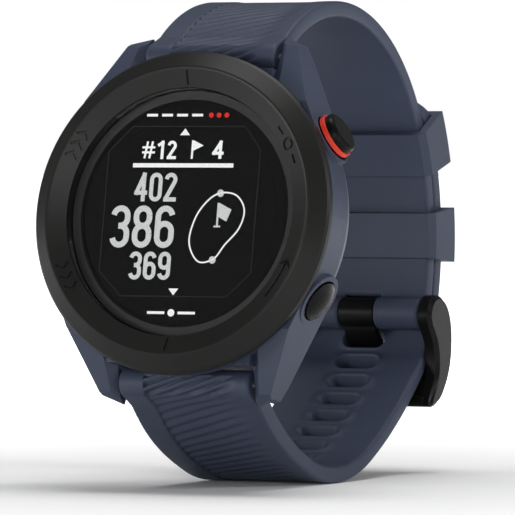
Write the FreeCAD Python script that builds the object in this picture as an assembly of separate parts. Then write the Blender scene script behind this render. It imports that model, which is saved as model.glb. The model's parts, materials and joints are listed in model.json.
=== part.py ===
import FreeCAD, Part
import math
import os
from FreeCAD import Placement, Rotation, Vector

# Golf watch with a round head, a silicone strap closed by a pin buckle, and quick-release spring bars.
# Lengths are in millimetres and angles in degrees.
#
# Two building frames are used before everything is placed in the final one:
#   head frame  x to 3 o'clock, y to 12 o'clock, z out of the glass, origin at the glass centre
#   loop frame  x to 3 o'clock, y towards the back of the closed strap, z up, origin at the glass centre
# The final frame has the loop frame's axes, with its origin on the ground below the middle of the watch.

# ---- Stance ----------------------------------------------------------------------------------------
LEAN = 10.33                          # the face leans back by this angle
GLASS_CENTRE = Vector(0, -30.52, 37.46)

# ---- Head: outside ---------------------------------------------------------------------------------
GLASS_R = 16.7
GLASS_THICK = 1.5
BEZEL_IN_R = GLASS_R + 0.08
CREST_R = 19.3
CREST_Z = 1.1
BEZEL_R = 21.85
BEZEL_BOTTOM = -2.0
BARREL_R = 21.4
BACK_Z = -10.4
CASE_BOTTOM = -10.1

# ---- Head: inside ----------------------------------------------------------------------------------
CAVITY_R = 18.0
CAVITY_TOP = -3.2
SHELF_Z = -1.8                        # the glass gasket lies on this shelf
SHELF_IN_R = 15.2
COVER_R = 18.92
COVER_SEAT_Z = -9.2
SCREW_AT = 12.0                       # each back screw's distance from both centre lines
BOARD_TOP = -6.95
BOARD_THICK = 0.8
BOARD_R = 16.2
FRAME_TOP = -3.45
FRAME_THICK = 0.55
DISPLAY_R = 13.6
DISPLAY_TOP = -1.65
DISPLAY_THICK = 0.9
PORT_Y = -10.6                        # centre of the charging port on the back
CONTACT_PITCH = 1.9
CONTACT_COUNT = 4

# ---- Lugs and spring bars --------------------------------------------------------------------------
LUG_GAP = 20.2
LUG_IN_X = LUG_GAP / 2
END_WALL_Y = 19.98                    # the case ends here between its lugs
BAR_Y = 22.2                          # head frame, both signs
BAR_Z = -7.2
BAR_R = 0.75
BAR_TIP_R = 0.45
LUG_HOLE_R = 0.50
LUG_HOLE_DEPTH = 1.3
PIN_R = 0.50
PIN_BORE_R = 0.55
PIN_TRAVEL = 1.2
LEVER_X = 6.0
LEVER_TILT = 34.7                     # the release lever leans this far from the back's normal

# ---- Buttons ---------------------------------------------------------------------------------------
BUTTON_Z = -5.8
BUTTON_TRAVEL = 0.5
BOSS_R = 3.7
BOSS_FACE = 21.9                      # distance of the boss's face from the head's axis
BUTTON_FLOOR = 20.55                  # bottom of the recess that the cap slides in
STEM_R = 0.8
STEM_TIP = 16.95
SEAL_SEAT = (17.9, 18.9)              # the seal's seat runs between these distances
CLIP_AT = (17.3, 17.55)
CLIP_R = 1.7
DOME_R = 2.8
DOME_EDGE = 22.1
DOME_TOP = 22.9
FLAT_CAP_R = 2.85
FLAT_CAP_BACK = 22.72
FLAT_CAP_TOP = 23.85
NECK_R = 2.2
SKIRT_END = 21.1
SPRING_TOP = 21.9
ACCENT_R = 3.1
ACCENT_AT = (22.05, 22.68)
BUTTONS = {                           # angle from 3 o'clock, and whether the cap is the flat one
    "select": (30, True),
    "back": (-30, False),
    "up": (150, False),
    "down": (210, False),
}

# ---- Strap loop ------------------------------------------------------------------------------------
STRAP_HALF = 9.7
STRAP_THICK = 2.2
LAYER_GAP = 0.25                      # between the two strap layers at the back
KNUCKLE_R = 2.0
ARC_Y = 27.3                          # centre of the round stretch at the back of the loop
ARC_Z = -4.3
ARC_R = 32.3                          # radius of its inner surface
TAIL_R = ARC_R + STRAP_THICK + LAYER_GAP
SHORT_ARC_END = 26.7                  # the short strap leaves the round stretch at this angle
SHORT_BENDS = ((29.2, 68.6), (27.6, 28.4))
TAIL_JOIN = -24.9                     # the long strap joins the round stretch at this angle
LONG_BENDS = ((8.2, -22.9), (69.0, -17.4), (23.7, -45.1), (37.7, -22.5))
TAIL_TIP = 36.0                       # the tail ends at this angle
TAIL_TIP_R = 13.5                     # radius of the tip in plan
SLOT_PITCH = 4.05
SLOT_COUNT = 9
SLOT_HALF = 3.05
SLOT_WIDTH = 2.3
SLOT_START = -0.2                     # along the strap from where it leaves the round stretch

# ---- Buckle ----------------------------------------------------------------------------------------
PIVOT_ANGLE = -19.3
ROLL_R = 2.25
PIVOT_R = ARC_R + STRAP_THICK - ROLL_R
BUCKLE_BAR_R = 0.75
BUCKLE_BORE_R = 0.80
ARM_IN_X = 10.05
ARM_OUT_X = 12.0
ARM_CHAMFER = 0.55
BAR_END_X = 11.3                      # the buckle's bar ends in blind holes in the arms
PLATE_IN_X = 3.3                      # the far end's two plates leave room for the tang between them
TANG_HALF = 2.6
TANG_GAP = 0.25
TONGUE_HALF = 2.4
TONGUE_THICK = 1.0
HUB_R = 2.1

# ---- Keepers ---------------------------------------------------------------------------------------
KEEPER_PLAY = 0.2
KEEPER_WALL = 1.15
KEEPER_LENGTH = 7.0
KEEPER_AT = {"keeper_free": 22.0, "keeper_fixed": 0.5}


# ---- Shape helpers ---------------------------------------------------------------------------------
def disc(radius, z_low, z_high, x=0.0, y=0.0):
    return Part.makeCylinder(radius, z_high - z_low, Vector(x, y, z_low))


def ring(r_out, r_in, z_low, z_high):
    return disc(r_out, z_low, z_high).cut(disc(r_in, z_low - 1, z_high + 1))


def block(x_range, y_range, z_range):
    size = [high - low for low, high in (x_range, y_range, z_range)]
    return Part.makeBox(*size, Vector(x_range[0], y_range[0], z_range[0]))


def polygon_face(points):
    return Part.Face(Part.makePolygon(list(points) + [points[0]]))


def turned(profile):
    """A solid of revolution about z from (radius, z) points."""
    face = polygon_face([Vector(r, 0, z) for r, z in profile])
    return face.revolve(Vector(0, 0, 0), Vector(0, 0, 1), 360)


def plan_prism(points, z_low, z_high):
    face = polygon_face([Vector(x, y, z_low) for x, y in points])
    return face.extrude(Vector(0, 0, z_high - z_low))


def x_rod(radius, x_low, x_high, y, z):
    return Part.makeCylinder(radius, x_high - x_low, Vector(x_low, y, z), Vector(1, 0, 0))


def x_prism(face_or_points, x_low, x_high):
    """Extrudes along x a face, or the polygon through (y, z) points."""
    face = face_or_points
    if not isinstance(face, Part.Face):
        face = polygon_face([Vector(0, y, z) for y, z in face_or_points])
    face = face.translated(Vector(x_low, 0, 0))
    return face.extrude(Vector(x_high - x_low, 0, 0))


def united(shapes):
    first, rest = shapes[0], list(shapes[1:])
    return first.multiFuse(rest) if rest else first


def without(shape, tools):
    return shape.cut(list(tools))


def coil_spring(radius, wire_r, length, turns):
    """A compression spring along z, from z = 0 to z = length."""
    rise = length - 2 * wire_r
    path = Part.makeHelix(rise / turns, rise, radius)
    section = Part.Wire(Part.makeCircle(wire_r, Vector(radius, 0, 0), Vector(0, 1, 0)))
    spring = Part.Wire(path.Edges).makePipeShell([section], True, True)
    return spring.translated(Vector(0, 0, wire_r))


def placed(shape, rotation, move):
    result = shape.copy()
    result.Placement = Placement(move, rotation).multiply(result.Placement)
    return result


def in_head(shape):
    return placed(shape, Rotation(Vector(1, 0, 0), 90 - LEAN), GLASS_CENTRE)


def in_loop(shape):
    return placed(shape, Rotation(), GLASS_CENTRE)


def radial(shape, angle):
    """Turns a shape built along z so that it points out of the head's side at the given angle."""
    outward = Rotation(Vector(0, 0, 1), angle).multiply(Rotation(Vector(0, 1, 0), 90))
    return placed(shape, outward, Vector(0, 0, BUTTON_Z))


def export(name, shape):
    shape.exportStep("parts/" + name + ".step")


# ---- Head ------------------------------------------------------------------------------------------
def lug():
    """The lug at 1 o'clock, from above the barrel to its tip."""
    plan = ((LUG_IN_X, 7), (LUG_IN_X, 25.0), (12.6, 24.0), (18.7, 10.6), (15, 7))
    side = ((7, -2.05), (15.3, -2.05), (23.6, -6.0), (25.1, -8.4), (24.7, -9.4), (22, -9.9), (7, -10.0))
    body = plan_prism(plan, -12, 0).common(x_prism(side, 9, 20))
    along = Vector(-1.0, 8.3, -4.0)
    inner_bevel = polygon_face([Vector(12.8, 13, -0.4), Vector(9.8, 13, -3.4), Vector(9.8, 13, -0.4)])
    back_bevel = polygon_face([Vector(20.2, 7, -8.2), Vector(20.2, 7, -11), Vector(16.5, 7, -11)])
    bevels = (inner_bevel.extrude(along * 1.7), back_bevel.extrude(Vector(-8.4, 17.2, 0.6) * 1.2))
    return without(body, bevels)


def four_ways(shape):
    """The shape and its mirror images in the head's two centre planes."""
    across = shape.mirror(Vector(0, 0, 0), Vector(1, 0, 0))
    pair = [shape, across]
    return pair + [item.mirror(Vector(0, 0, 0), Vector(0, 1, 0)) for item in pair]


def screw_places():
    return [(sx * SCREW_AT, sy * SCREW_AT) for sx in (1, -1) for sy in (1, -1)]


def case_body():
    barrel = turned(((0, BEZEL_BOTTOM), (21.3, BEZEL_BOTTOM), (BARREL_R, -2.6), (BARREL_R, -7.4),
                     (20.7, -9.3), (19.9, CASE_BOTTOM), (0, CASE_BOTTOM)))
    shelf = disc(GLASS_R - 0.02, BEZEL_BOTTOM, SHELF_Z)
    bosses = [radial(disc(BOSS_R, 18.5, BOSS_FACE), angle) for angle, flat in BUTTONS.values()]
    ends = [block((-LUG_IN_X - 0.5, LUG_IN_X + 0.5), sorted((side * 12, side * END_WALL_Y)), (-9.9, -3.2))
            for side in (1, -1)]
    outside = united([barrel, shelf] + ends + four_ways(lug()) + bosses)
    hollow = disc(CAVITY_R, -11, CAVITY_TOP)
    posts = united([disc(1.7, COVER_SEAT_Z, -7.9, x, y) for x, y in screw_places()])
    hollow = hollow.cut(posts)
    cuts = [hollow, disc(SHELF_IN_R, CAVITY_TOP - 1, 0), disc(COVER_R + 0.08, -12, COVER_SEAT_Z),
            ring(18.8, 18.2, COVER_SEAT_Z - 0.1, COVER_SEAT_Z + 0.45)]
    cuts += [disc(0.60, -10, -7.8, x, y) for x, y in screw_places()]
    for side in (1, -1):
        cuts.append(block((-LUG_IN_X, LUG_IN_X), sorted((side * END_WALL_Y, side * 30)), (-12, -4.6)))
        cuts.append(x_rod(LUG_HOLE_R, -LUG_IN_X - LUG_HOLE_DEPTH, LUG_IN_X + LUG_HOLE_DEPTH,
                          side * BAR_Y, BAR_Z))
    for angle, flat in BUTTONS.values():
        recess_r = ACCENT_R + 0.2 if flat else DOME_R + 0.2
        cuts.append(radial(disc(recess_r, BUTTON_FLOOR, 26), angle))
        cuts.append(radial(disc(STEM_R + 0.06, 16, 24), angle))
        cuts.append(radial(disc(1.5, SEAL_SEAT[0] - 0.5, SEAL_SEAT[1]), angle))
    return without(outside, cuts)


def stroke(start, end, width):
    """A straight engraved line in plan, as a tall prism."""
    length = math.dist(start, end)
    bar = block((-width / 2, length + width / 2), (-width / 2, width / 2), (-3, 3))
    turn = math.degrees(math.atan2(end[1] - start[1], end[0] - start[0]))
    return placed(bar, Rotation(Vector(0, 0, 1), turn), Vector(start[0], start[1], 0))


def chevron(centre_r, angle, direction, size=0.7, width=0.3):
    """A V whose point leads along the bezel, towards larger angles when direction is 1."""
    point = (centre_r, direction * size * 0.5)
    arms = [stroke(point, (centre_r + side * size, -direction * size * 0.5), width) for side in (1, -1)]
    return [placed(arm, Rotation(Vector(0, 0, 1), angle), Vector(0, 0, 0)) for arm in arms]


def bezel_marks():
    """Ticks at 12 and 6 o'clock, and a plain symbol beside each button, all as tall prisms."""
    middle = 18.05
    marks = [stroke((0, sign * 17.25), (0, sign * 18.8), 0.28) for sign in (1, -1)]
    for step in (-1, 0, 1):
        marks += chevron(middle, BUTTONS["up"][0] + step * 5, -1)
        marks += chevron(middle, BUTTONS["down"][0] + step * 5, 1)
    select, back = BUTTONS["select"][0], BUTTONS["back"][0]
    dot_ring = ring(0.85, 0.55, -3, 3).translated(Vector(middle, 0, 0))
    marks.append(placed(dot_ring, Rotation(Vector(0, 0, 1), select), Vector(0, 0, 0)))
    arc = ring(middle + 0.15, middle - 0.15, -3, 3)
    for low, high in ((select - 9, select - 5), (select + 5, select + 9), (back - 9, back + 8)):
        reach = [(30 * math.cos(math.radians(a)), 30 * math.sin(math.radians(a))) for a in (low, high)]
        marks.append(arc.common(plan_prism([(0, 0)] + reach, -3, 3)))
    marks += chevron(middle, back + 8, 1)
    return marks


def bezel_ring():
    body = turned(((BEZEL_IN_R, BEZEL_BOTTOM), (BEZEL_IN_R, 0), (CREST_R - 0.15, CREST_Z - 0.05),
                   (CREST_R + 0.1, CREST_Z), (CREST_R + 0.3, CREST_Z - 0.1), (21.55, -0.45),
                   (BEZEL_R, -0.85), (BEZEL_R, -1.6), (21.55, BEZEL_BOTTOM)))
    rise = CREST_Z / (CREST_R - BEZEL_IN_R)
    depth = 0.22
    end_z = rise * 3
    skin_end = BEZEL_IN_R + 3
    skin = turned(((BEZEL_IN_R, -depth), (BEZEL_IN_R, 2), (skin_end, 3), (skin_end, end_z - depth)))
    return without(body, [mark.common(skin) for mark in bezel_marks()])


def glass():
    edge = 0.12
    rim = ((GLASS_R, -GLASS_THICK), (GLASS_R, -edge), (GLASS_R - edge, 0))
    return turned(((0, -GLASS_THICK),) + rim + ((0, 0),))


def back_cover():
    body = turned(((0, COVER_SEAT_Z), (COVER_R, COVER_SEAT_Z), (COVER_R, -9.75), (17.6, BACK_Z),
                   (0, BACK_Z)))
    cuts = [disc(0.62, -12, -8, x, y) for x, y in screw_places()]
    cuts += [disc(1.25, -12, -9.75, x, y) for x, y in screw_places()]
    cuts.append(block((-4.6, 4.6), (PORT_Y - 2.1, PORT_Y + 2.1), (-12, -9.75)))
    cuts += [disc(0.56, -12, -8, x, PORT_Y) for x in contact_places()]
    return without(body, cuts)


def contact_places():
    middle = (CONTACT_COUNT - 1) / 2
    return [(index - middle) * CONTACT_PITCH for index in range(CONTACT_COUNT)]


def charge_contacts():
    return Part.makeCompound([disc(0.5, -10.05, -7.85, x, PORT_Y) for x in contact_places()])


def back_screw(x, y):
    head = disc(1.15, BACK_Z + 0.05, -9.8, x, y)
    shank = disc(0.52, -9.85, -8.2, x, y)
    turns = [math.pi / 3 * index for index in range(6)]
    corners = [(x + 0.55 * math.cos(turn), y + 0.55 * math.sin(turn)) for turn in turns]
    return united([head, shank]).cut(plan_prism(corners, -12, -10.05))


def mainboard():
    bottom = BOARD_TOP - BOARD_THICK
    board = disc(BOARD_R, bottom, BOARD_TOP)
    notches = [disc(2.0, bottom - 1, BOARD_TOP + 1, x, y) for x, y in screw_places()]
    return without(board, notches)


def inner_frame():
    plate = disc(CAVITY_R - 0.15, FRAME_TOP - FRAME_THICK, FRAME_TOP)
    flex_slot = block((-3.4, 3.4), (-13.4, -12.4), (-5, -3))
    return plate.cut(flex_slot)


def display_module():
    return disc(DISPLAY_R, DISPLAY_TOP - DISPLAY_THICK, DISPLAY_TOP)


def display_backlight():
    return disc(DISPLAY_R - 1.0, FRAME_TOP + 0.03, DISPLAY_TOP - DISPLAY_THICK - 0.03)


def flex_cable():
    drop = block((-3, 3), (-13.0, -12.85), (BOARD_TOP + 0.15, FRAME_TOP + 0.45))
    foot = block((-3, 3), (-13.0, -9.2), (BOARD_TOP + 0.01, BOARD_TOP + 0.16))
    return united([drop, foot])


def tactile_switch(angle):
    body = block((-BUTTON_Z + BOARD_TOP + 0.02, 1.0), (-1.7, 1.7), (14.6, 16.1))
    plunger = disc(0.6, 16.0, 16.4)
    return radial(united([body.mirror(Vector(0, 0, 0), Vector(1, 0, 0)), plunger]), angle)


# ---- Buttons ---------------------------------------------------------------------------------------
def button(flat):
    """A cap with its skirt and stem, as one turned piece along z."""
    stem = [(0, STEM_TIP), (STEM_R, STEM_TIP), (STEM_R, CLIP_AT[0]), (0.55, CLIP_AT[0]),
            (0.55, CLIP_AT[1]), (STEM_R, CLIP_AT[1]), (STEM_R, SPRING_TOP), (1.75, SPRING_TOP),
            (1.75, SKIRT_END)]
    if flat:
        cap = [(NECK_R, SKIRT_END), (NECK_R, FLAT_CAP_BACK), (FLAT_CAP_R, FLAT_CAP_BACK),
               (FLAT_CAP_R, FLAT_CAP_TOP - 0.5), (FLAT_CAP_R - 0.15, FLAT_CAP_TOP - 0.15),
               (FLAT_CAP_R - 0.5, FLAT_CAP_TOP), (0, FLAT_CAP_TOP)]
    else:
        cap = [(DOME_R, SKIRT_END), (DOME_R, DOME_EDGE)]
        drop = DOME_TOP - DOME_EDGE
        dome_r = (DOME_R ** 2 + drop ** 2) / (2 * drop)
        for step in (0.8, 0.6, 0.4, 0.2):
            rho = DOME_R * step
            cap.append((rho, DOME_TOP - dome_r + math.sqrt(dome_r ** 2 - rho ** 2)))
        cap.append((0, DOME_TOP))
    return turned(stem + cap)


def button_spring():
    """A stack of three cupped washers under the cap, joined at their rims."""
    gap, leaf = 0.03, 0.2
    low, high = BUTTON_FLOOR + gap, SPRING_TOP - gap
    radii = (1.05, 1.5, 1.05, 1.5)
    middle = [(r, low + (high - low) * index / 3) for index, r in enumerate(radii)]
    inner = [(r - leaf / 2, z) for r, z in reversed(middle)]
    outer = [(r + leaf / 2, z) for r, z in middle]
    return turned(outer + inner)


def button_seal():
    middle = sum(SEAL_SEAT) / 2
    return Part.makeTorus(1.16, 0.32, Vector(0, 0, middle))


def button_clip():
    clip = ring(CLIP_R, 0.57, CLIP_AT[0] + 0.02, CLIP_AT[1] - 0.02)
    return clip.cut(block((0, 3), (-0.5, 0.5), (16, 19)))


# ---- Strap -----------------------------------------------------------------------------------------
def on_arc(centre, radius, angle):
    return centre[0] + radius * math.cos(angle), centre[1] + radius * math.sin(angle)


def round_point(radius, angle_deg):
    """A point of the round stretch at the back of the loop."""
    return on_arc((ARC_Y, ARC_Z), radius, math.radians(angle_deg))


def walk(start, first_angle, bends):
    """Arcs (centre, radius, first angle, last angle) that follow each other with no corner.

    An angle is where the arc's point lies, seen from the arc's own centre.
    """
    arcs = []
    point, angle = start, math.radians(first_angle)
    for radius, sweep in bends:
        centre = on_arc(point, -radius, angle)
        last = angle + math.radians(sweep)
        arcs.append((centre, radius, angle, last))
        point, angle = on_arc(centre, radius, last), last
    return arcs


def arc_edge(arc, offset):
    centre, radius, first, last = arc
    points = [on_arc(centre, radius + offset, a) for a in (first, (first + last) / 2, last)]
    return Part.Arc(*[Vector(0, y, z) for y, z in points]).toShape()


def band_face(arcs, inner, outer):
    """The face between two offsets of a chain of arcs."""
    edges = [arc_edge(arc, inner) for arc in arcs]
    edges += [arc_edge(arc, outer) for arc in arcs]
    for arc, which in ((arcs[0], 2), (arcs[-1], 3)):
        ends = [Vector(0, *on_arc(arc[0], arc[1] + offset, arc[which])) for offset in (inner, outer)]
        edges.append(Part.LineSegment(*ends).toShape())
    return Part.Face(Part.Wire(Part.__sortEdges__(edges)))


def short_arcs():
    back = [((ARC_Y, ARC_Z), ARC_R, math.radians(PIVOT_ANGLE), math.radians(SHORT_ARC_END))]
    return back + walk(round_point(ARC_R, SHORT_ARC_END), SHORT_ARC_END, SHORT_BENDS)


def long_arcs():
    back = [((ARC_Y, ARC_Z), TAIL_R, math.radians(TAIL_TIP), math.radians(TAIL_JOIN))]
    return back + walk(round_point(TAIL_R, TAIL_JOIN), TAIL_JOIN, LONG_BENDS)


def bar_centre(side):
    """The spring bar's (y, z) in the loop frame, above for side 1 and below for side -1."""
    lean = math.radians(LEAN)
    y, z = side * BAR_Y, BAR_Z
    return y * math.sin(lean) - z * math.cos(lean), y * math.cos(lean) + z * math.sin(lean)


def tangent_point(outside, centre, radius, turn):
    """Where the line from a point outside a circle touches it, on the side given by turn."""
    dy, dz = outside[0] - centre[0], outside[1] - centre[1]
    spread = math.acos(radius / math.hypot(dy, dz))
    return on_arc(centre, radius, math.atan2(dz, dy) + turn * spread)


def strap_neck(arc, centre, turn):
    """Widens the end of a band until it meets the knuckle round the spring bar."""
    inner, outer = (on_arc(arc[0], arc[1] + offset, arc[3]) for offset in (0, STRAP_THICK))
    points = (inner, outer, tangent_point(outer, centre, KNUCKLE_R, turn), centre,
              tangent_point(inner, centre, KNUCKLE_R, -turn))
    return x_prism(points, -STRAP_HALF, STRAP_HALF)


def lever_notch(side):
    """Room in the knuckle for the spring bar's release lever, open towards the wrist."""
    y, z = bar_centre(side)
    notch = block((LEVER_X - PIN_TRAVEL - 1.0, LEVER_X + 0.9), (-0.9, 0.9), (0, 6))
    return placed(notch, Rotation(Vector(1, 0, 0), lever_angle(side)), Vector(0, y, z))


def lever_angle(side):
    """Turn about x that points a z-up lever from the bar towards the wrist."""
    return -90 - LEAN - side * LEVER_TILT


def strap_end(arcs, side):
    centre = bar_centre(side)
    knuckle = x_rod(KNUCKLE_R, -STRAP_HALF, STRAP_HALF, *centre)
    return [knuckle, strap_neck(arcs[-1], centre, side)]


def short_strap():
    arcs = short_arcs()
    band = x_prism(band_face(arcs, 0, STRAP_THICK), -STRAP_HALF, STRAP_HALF)
    pivot = round_point(PIVOT_R, PIVOT_ANGLE)
    roll = x_rod(ROLL_R, -STRAP_HALF, STRAP_HALF, *pivot)
    body = united([band, roll] + strap_end(arcs, 1))
    window = block((-TANG_HALF - TANG_GAP, TANG_HALF + TANG_GAP), (pivot[0] - 6, pivot[0] + 6),
                   (pivot[1] - 6, pivot[1] + HUB_R + 0.45))
    bores = [x_rod(BUCKLE_BORE_R, -20, 20, *pivot), x_rod(BAR_R + 0.05, -20, 20, *bar_centre(1))]
    return without(body, bores + [window, lever_notch(1)])


def slot_places():
    """Arc angle and arc of each slot, counted along the long strap from the one the tang is in."""
    arcs = long_arcs()[1:]
    travel = SLOT_START
    places = []
    for _ in range(SLOT_COUNT):
        rest = travel
        for arc in arcs:
            length = arc[1] * abs(arc[3] - arc[2])
            if rest <= length:
                break
            rest -= length
        places.append((arc, arc[2] + (arc[3] - arc[2]) * rest / length))
        travel += SLOT_PITCH
    return places


def slot_tool(arc, angle):
    """A slot with round ends, cut square to the strap."""
    centre = on_arc(arc[0], arc[1], angle)
    half = SLOT_HALF - SLOT_WIDTH / 2
    straight = block((-half, half), (-SLOT_WIDTH / 2, SLOT_WIDTH / 2), (-2, STRAP_THICK + 2))
    ends = [disc(SLOT_WIDTH / 2, -2, STRAP_THICK + 2, x) for x in (-half, half)]
    tool = united([straight] + ends)
    return placed(tool, Rotation(Vector(1, 0, 0), math.degrees(angle) - 90), Vector(0, *centre))


def tail_plan():
    """Everything beyond the rounded tip, to be cut from the tail."""
    tip = round_point(TAIL_R + STRAP_THICK / 2, TAIL_TIP)
    keep = disc(TAIL_TIP_R, -8, 8, 0, -TAIL_TIP_R)
    beyond = block((-14, 14), (-7, 4), (-8, 8)).cut(keep)
    return placed(beyond, Rotation(Vector(1, 0, 0), TAIL_TIP + 90), Vector(0, *tip))


def long_strap():
    arcs = long_arcs()
    band = x_prism(band_face(arcs, 0, STRAP_THICK), -STRAP_HALF, STRAP_HALF)
    body = united([band] + strap_end(arcs, -1))
    cuts = [slot_tool(arc, angle) for arc, angle in slot_places()]
    cuts += [x_rod(BAR_R + 0.05, -20, 20, *bar_centre(-1)), lever_notch(-1), tail_plan()]
    return without(body, cuts)


# ---- Spring bars -----------------------------------------------------------------------------------
def bar_tube():
    """Tube with a fixed tip on one end, along x about the origin."""
    tube = x_rod(BAR_R, -9.6, 9.6, 0, 0)
    tip = x_rod(BAR_TIP_R, -LUG_IN_X - 1.0, -9.5, 0, 0)
    bore = x_rod(PIN_BORE_R, 0, 10, 0, 0)
    lever_slot = block((LEVER_X - PIN_TRAVEL - 0.5, LEVER_X + 0.5), (-0.3, 0.3), (0, 2))
    return without(united([tube, tip]), (bore, lever_slot))


def bar_pin():
    """Sliding pin with the lever that pulls it in."""
    rod = x_rod(PIN_R, 4.6, 9.6, 0, 0)
    tip = x_rod(BAR_TIP_R, 9.5, LUG_IN_X + 1.0, 0, 0)
    lever = block((LEVER_X - 0.25, LEVER_X + 0.25), (-0.22, 0.22), (0, 2.1))
    knob = disc(0.5, 2.0, 2.7, LEVER_X)
    return united([rod, tip, lever, knob])


def bar_spring():
    spring = coil_spring(0.36, 0.1, 4.4, 9)
    return placed(spring, Rotation(Vector(0, 1, 0), 90), Vector(0.1, 0, 0))


def on_bar(shape, side):
    return placed(shape, Rotation(Vector(1, 0, 0), lever_angle(side)), Vector(0, *bar_centre(side)))


# ---- Buckle and keepers ----------------------------------------------------------------------------
def from_pivot(y, z):
    pivot = round_point(PIVOT_R, PIVOT_ANGLE)
    return pivot[0] + y, pivot[1] + z


def spline_wire(points, x=0):
    """A closed smooth wire through (y, z) points of the loop frame, at the given x."""
    curve = Part.BSplineCurve()
    curve.interpolate([Vector(x, y, z) for y, z in points], PeriodicFlag=True)
    return Part.Wire(curve.toShape())


def inset(points, distance):
    """The closed clockwise outline moved inwards, point by point."""
    moved = []
    for index, (y, z) in enumerate(points):
        before, after = points[index - 1], points[(index + 1) % len(points)]
        dy, dz = after[0] - before[0], after[1] - before[1]
        size = math.hypot(dy, dz)
        moved.append((y + dz / size * distance, z - dy / size * distance))
    return moved


def buckle_arm():
    """The arm on the 3 o'clock side, with its outer edge cut."""
    outline = [(-2.6, 0.6), (-0.7, 2.4), (2.6, 1.9), (4.7, -0.9), (5.1, -4.6), (4.3, -8.2), (2.2, -11.3),
               (-0.4, -13.0), (-2.2, -12.9), (-1.7, -11.3), (-0.4, -9.4), (0.0, -6.8), (-0.9, -3.6),
               (-2.6, -1.2)]
    outline = [from_pivot(y, z) for y, z in outline]
    shoulder = ARM_OUT_X - ARM_CHAMFER
    arm = x_prism(Part.Face(spline_wire(outline)), ARM_IN_X, shoulder)
    rims = [spline_wire(outline, shoulder), spline_wire(inset(outline, ARM_CHAMFER), ARM_OUT_X)]
    cap = Part.makeLoft(rims, True, True)
    return united([arm, cap])


def buckle_frame():
    arm = buckle_arm()
    arms = [arm, arm.mirror(Vector(0, 0, 0), Vector(1, 0, 0))]
    bar_r, reach = 0.8, ARM_IN_X + 0.5
    bar_places = ((-0.62, -11.75), (-1.62, -12.35))
    far_bar = [x_rod(bar_r, -reach, reach, *from_pivot(y, z)) for y, z in bar_places]
    outline = [(4.3, -7.6), (3.9, -8.7), (2.0, -11.2), (-0.5, -12.5), (-1.6, -11.4), (1.0, -9.5),
               (2.7, -7.6)]
    plate = x_prism([from_pivot(y, z) for y, z in outline], PLATE_IN_X, reach)
    plates = [plate, plate.mirror(Vector(0, 0, 0), Vector(1, 0, 0))]
    body = united(arms + far_bar + plates)
    return body.cut(x_rod(BUCKLE_BORE_R, -BAR_END_X - 0.05, BAR_END_X + 0.05, *from_pivot(0, 0)))


def buckle_tang():
    hub = x_rod(HUB_R, -TANG_HALF, TANG_HALF, *from_pivot(0, 0))
    middle = [(-0.3, -1.5), (0.65, -3.25), (2.1, -4.5), (3.35, -5.9), (3.5, -8.4), (1.9, -11.6),
              (-0.4, -13.5)]
    half = TONGUE_THICK / 2
    left, right = [], []
    for index, (y, z) in enumerate(middle):
        before, after = middle[max(index - 1, 0)], middle[min(index + 1, len(middle) - 1)]
        dy, dz = after[0] - before[0], after[1] - before[1]
        size = math.hypot(dy, dz)
        left.append(from_pivot(y - dz / size * half, z + dy / size * half))
        right.append(from_pivot(y + dz / size * half, z - dy / size * half))
    sides = [Part.BSplineCurve() for _ in range(2)]
    sides[0].interpolate([Vector(0, *point) for point in left])
    sides[1].interpolate([Vector(0, *point) for point in right])
    ends = [Part.LineSegment(Vector(0, *left[i]), Vector(0, *right[i])) for i in (0, -1)]
    edges = [curve.toShape() for curve in sides + ends]
    tongue = x_prism(Part.Face(Part.Wire(Part.__sortEdges__(edges))), -TONGUE_HALF, TONGUE_HALF)
    return united([hub, tongue]).cut(x_rod(BUCKLE_BORE_R, -20, 20, *from_pivot(0, 0)))


def buckle_bar():
    return x_rod(BUCKLE_BAR_R, -BAR_END_X, BAR_END_X, *from_pivot(0, 0))


def chamfered_frame(half_x, low, high, chamfer):
    """Rectangle in (x, radius) with its inner corners cut, as a wire."""
    points = [(-half_x, high), (-half_x, low + chamfer), (-half_x + chamfer, low),
              (half_x - chamfer, low), (half_x, low + chamfer), (half_x, high)]
    return [Vector(x, r, 0) for x, r in points]


def keeper(angle):
    """A loop that follows the round stretch of the strap over its own length."""
    hole_low, hole_high = ARC_R - KEEPER_PLAY, TAIL_R + STRAP_THICK + KEEPER_PLAY
    hole_half = STRAP_HALF + KEEPER_PLAY
    outer = polygon_face(chamfered_frame(hole_half + KEEPER_WALL, hole_low - KEEPER_WALL,
                                         hole_high + KEEPER_WALL, 0.9))
    hole = polygon_face(chamfered_frame(hole_half, hole_low, hole_high, 0.01))
    sweep = math.degrees(KEEPER_LENGTH / (ARC_R + STRAP_THICK))
    section = placed(outer.cut(hole), Rotation(Vector(1, 0, 0), angle - sweep / 2), Vector(0, ARC_Y, ARC_Z))
    return section.revolve(Vector(0, ARC_Y, ARC_Z), Vector(1, 0, 0), sweep)


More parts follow.
